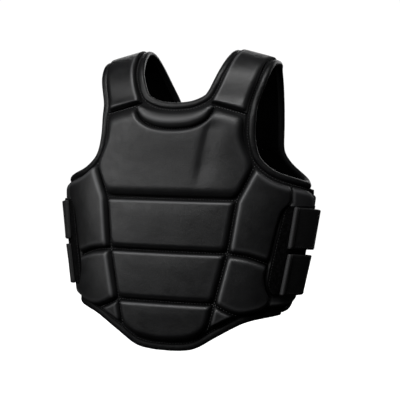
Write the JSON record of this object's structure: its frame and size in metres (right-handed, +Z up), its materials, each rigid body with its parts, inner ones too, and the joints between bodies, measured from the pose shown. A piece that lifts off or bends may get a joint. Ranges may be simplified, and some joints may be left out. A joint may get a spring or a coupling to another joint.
{
  "type": "chest guard",
  "caption": "Padded sleeveless chest guard for sport: stitched foam panels on a curved front sheet, padded shoulder straps, a plain back and side straps that close on hook patches.",
  "frame": {"origin": "midway between the two places where the straps sit on the wearer's shoulders", "axes": "+Z up along the wearer's body, the padded front faces -Y, +X towards the viewer's right of the front"},
  "size_m": [0.415, 0.2516, 0.4487],
  "materials": {
    "leather": "black synthetic leather over foam, satin, fine grain",
    "lining": "black lining, matt",
    "binding": "black synthetic leather binding, satin",
    "webbing": "black woven webbing, matt",
    "hook_patch": "black hook-and-loop tape, matt"
  },
  "bodies": {
    "root": {"front_sheet": "lining", "back_panel": "leather", "neck_binding": "binding", "hem_binding": "binding", "chest_panel": "leather", "neck_roll": "leather", "belly_panel_upper": "leather", "belly_panel_middle": "leather", "belly_panel_lower": "leather", "shoulder_strap_right": "lining", "shoulder_pad_right": "leather", "side_panel_upper_right": "leather", "side_panel_lower_right": "leather", "hem_gusset_right": "leather", "side_flap_right": "leather", "hook_patch_right": "hook_patch", "side_strap_upper_right": "webbing", "side_strap_lower_right": "webbing", "armhole_binding_right": "binding", "strap_binding_right": "binding", "side_binding_right": "binding", "back_armhole_binding_right": "binding", "shoulder_strap_left": "lining", "shoulder_pad_left": "leather", "side_panel_upper_left": "leather", "side_panel_lower_left": "leather", "hem_gusset_left": "leather", "side_flap_left": "leather", "hook_patch_left": "hook_patch", "side_strap_upper_left": "webbing", "side_strap_lower_left": "webbing", "armhole_binding_left": "binding", "strap_binding_left": "binding", "side_binding_left": "binding", "back_armhole_binding_left": "binding", "back_neck_binding": "binding", "back_hem_binding": "binding"}
  },
  "joints": []
}
